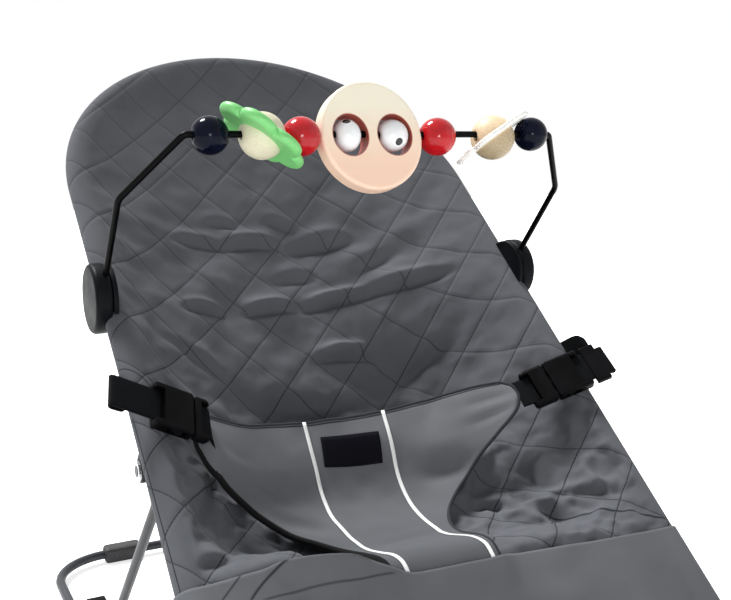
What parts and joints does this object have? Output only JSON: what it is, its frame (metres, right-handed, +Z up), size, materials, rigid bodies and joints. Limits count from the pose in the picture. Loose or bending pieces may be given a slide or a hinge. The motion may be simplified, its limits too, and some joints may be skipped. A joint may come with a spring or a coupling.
{
  "type": "baby rocker",
  "caption": "Folding baby rocker: floor frame of bent wire, reclining seat with a quilted sling, buckled crotch panel, rear prop leg and a swinging bar of wooden toys.",
  "frame": {"origin": "on the floor, in the middle of the floor frame", "axes": "+Z up, +Y from the foot end to the head end, +X to the right when seen from the foot end"},
  "size_m": [0.42, 0.7898, 0.5662],
  "materials": {
    "frame_paint": "fine-textured dark grey powder coat",
    "bright_steel": "zinc-plated",
    "foot_rubber": "matt black",
    "black_plastic": "moulded, satin black",
    "clamp_plastic": "moulded, matt blue-black",
    "toy_wire_paint": "black coating",
    "quilted_cotton": "quilted woven cotton, dark grey",
    "plain_cotton": "plain woven cotton, mid grey",
    "white_ribbon": "woven ribbon",
    "label_cloth": "bare woven patch",
    "webbing": "woven black webbing",
    "navy_lacquer": "glossy lacquer",
    "red_lacquer": "glossy lacquer",
    "green_paint": "satin paint",
    "cream_wood": "satin paint",
    "natural_wood": "clear satin lacquer",
    "pale_paint": "satin paint",
    "face_paint": "satin paint",
    "eye_white": "glossy paint"
  },
  "bodies": {
    "base": {"base_frame": "frame_paint", "hinge_rod": "bright_steel", "rear_foot_left": "foot_rubber", "rear_foot_right": "foot_rubber", "front_foot_left": "foot_rubber", "front_foot_right": "foot_rubber", "hinge_block_left": "black_plastic", "hinge_block_right": "black_plastic", "position_rack_left": "black_plastic", "position_rack_right": "black_plastic"},
    "seat": {"seat_frame": "frame_paint", "cover_sleeve": "quilted_cotton", "seat_cover": "quilted_cotton", "foot_panel": "plain_cotton", "foot_hem": "plain_cotton", "crotch_panel": "plain_cotton", "label_patch": "label_cloth", "stripe_left": "white_ribbon", "stripe_right": "white_ribbon", "seat_lug_left": "black_plastic", "seat_lug_right": "black_plastic", "leg_lug_left": "black_plastic", "leg_lug_right": "black_plastic", "clamp_jaw_left": "clamp_plastic", "clamp_jaw_right": "clamp_plastic", "webbing_left": "webbing", "webbing_right": "webbing", "panel_webbing_left": "webbing", "panel_webbing_right": "webbing", "buckle_socket_left": "black_plastic", "buckle_socket_right": "black_plastic", "buckle_plug_left": "black_plastic", "buckle_plug_right": "black_plastic", "strap_keeper": "black_plastic"},
    "leg": {"support_leg": "frame_paint", "leg_nut_left": "bright_steel", "leg_nut_right": "bright_steel"},
    "toy_arch": {"toy_wire": "toy_wire_paint", "clamp_hub_left": "clamp_plastic", "clamp_hub_right": "clamp_plastic"},
    "blue_bead_left": {"blue_bead_left": "navy_lacquer"},
    "flower_ball": {"ball_left": "cream_wood", "flower_disc": "green_paint"},
    "red_bead_left": {"red_bead_left": "red_lacquer"},
    "face": {"face_disc": "face_paint"},
    "eye_left": {"eye_left": "eye_white"},
    "eye_right": {"eye_right": "eye_white"},
    "red_bead_right": {"red_bead_right": "red_lacquer"},
    "pale_ball": {"ball_right": "natural_wood", "pale_disc": "pale_paint"},
    "blue_bead_right": {"blue_bead_right": "navy_lacquer"},
    "latch_left_upper": {"latch_arm_left_upper": "black_plastic"},
    "latch_left_lower": {"latch_arm_left_lower": "black_plastic"},
    "latch_right_upper": {"latch_arm_right_upper": "black_plastic"},
    "latch_right_lower": {"latch_arm_right_lower": "black_plastic"}
  },
  "joints": [
    {"name": "seat_recline", "type": "hinge", "parent": "base", "child": "seat", "pos_m": [0, -0.325, 0.095], "axis": [1, 0, 0], "range_deg": [-35, 0]},
    {"name": "leg_fold", "type": "hinge", "parent": "seat", "child": "leg", "pos_m": [0, -0.04519, 0.25188], "axis": [1, 0, 0], "range_deg": [0, 90]},
    {"name": "toy_swing", "type": "hinge", "parent": "seat", "child": "toy_arch", "pos_m": [0, 0.0433, 0.3632], "axis": [1, 0, 0], "range_deg": [-65, 65]},
    {"name": "blue_bead_left_spin", "type": "hinge", "parent": "toy_arch", "child": "blue_bead_left", "pos_m": [-0.1345, -0.05851, 0.48741], "axis": [1, 0, 0], "continuous": true},
    {"name": "flower_ball_spin", "type": "hinge", "parent": "toy_arch", "child": "flower_ball", "pos_m": [-0.098, -0.05851, 0.48741], "axis": [1, 0, 0], "continuous": true},
    {"name": "red_bead_left_spin", "type": "hinge", "parent": "toy_arch", "child": "red_bead_left", "pos_m": [-0.0655, -0.05851, 0.48741], "axis": [1, 0, 0], "continuous": true},
    {"name": "face_spin", "type": "hinge", "parent": "toy_arch", "child": "face", "pos_m": [-0.0095, -0.05851, 0.48741], "axis": [1, 0, 0], "continuous": true},
    {"name": "eye_left_spin", "type": "hinge", "parent": "toy_arch", "child": "eye_left", "pos_m": [-0.03, -0.05851, 0.48741], "axis": [1, 0, 0], "continuous": true},
    {"name": "eye_right_spin", "type": "hinge", "parent": "toy_arch", "child": "eye_right", "pos_m": [0.0085, -0.05851, 0.48741], "axis": [1, 0, 0], "continuous": true},
    {"name": "red_bead_right_spin", "type": "hinge", "parent": "toy_arch", "child": "red_bead_right", "pos_m": [0.047, -0.05851, 0.48741], "axis": [1, 0, 0], "continuous": true},
    {"name": "pale_ball_spin", "type": "hinge", "parent": "toy_arch", "child": "pale_ball", "pos_m": [0.0975, -0.05851, 0.48741], "axis": [1, 0, 0], "continuous": true},
    {"name": "blue_bead_right_spin", "type": "hinge", "parent": "toy_arch", "child": "blue_bead_right", "pos_m": [0.1345, -0.05851, 0.48741], "axis": [1, 0, 0], "continuous": true},
    {"name": "latch_left_upper_squeeze", "type": "hinge", "parent": "seat", "child": "latch_left_upper", "pos_m": [-0.14654, -0.04394, 0.29491], "axis": [0.3963, -0.6499, 0.6485], "range_deg": [0, 12], "stiffness_Nm_per_rad": 0.5},
    {"name": "latch_left_lower_squeeze", "type": "hinge", "parent": "seat", "child": "latch_left_lower", "pos_m": [-0.15207, -0.06248, 0.27972], "axis": [0.3963, -0.6499, 0.6485], "range_deg": [-12, 0], "stiffness_Nm_per_rad": 0.5},
    {"name": "latch_right_upper_squeeze", "type": "hinge", "parent": "seat", "child": "latch_right_upper", "pos_m": [0.15458, -0.05486, 0.28852], "axis": [-0.3905, -0.5941, 0.7033], "range_deg": [-12, 0], "stiffness_Nm_per_rad": 0.5},
    {"name": "latch_right_lower_squeeze", "type": "hinge", "parent": "seat", "child": "latch_right_lower", "pos_m": [0.15544, -0.07387, 0.27293], "axis": [-0.3905, -0.5941, 0.7033], "range_deg": [0, 12], "stiffness_Nm_per_rad": 0.5}
  ],
  "couplings": [
    {"joint": "leg_fold", "follows": "seat_recline", "ratio": -2.55}
  ]
}
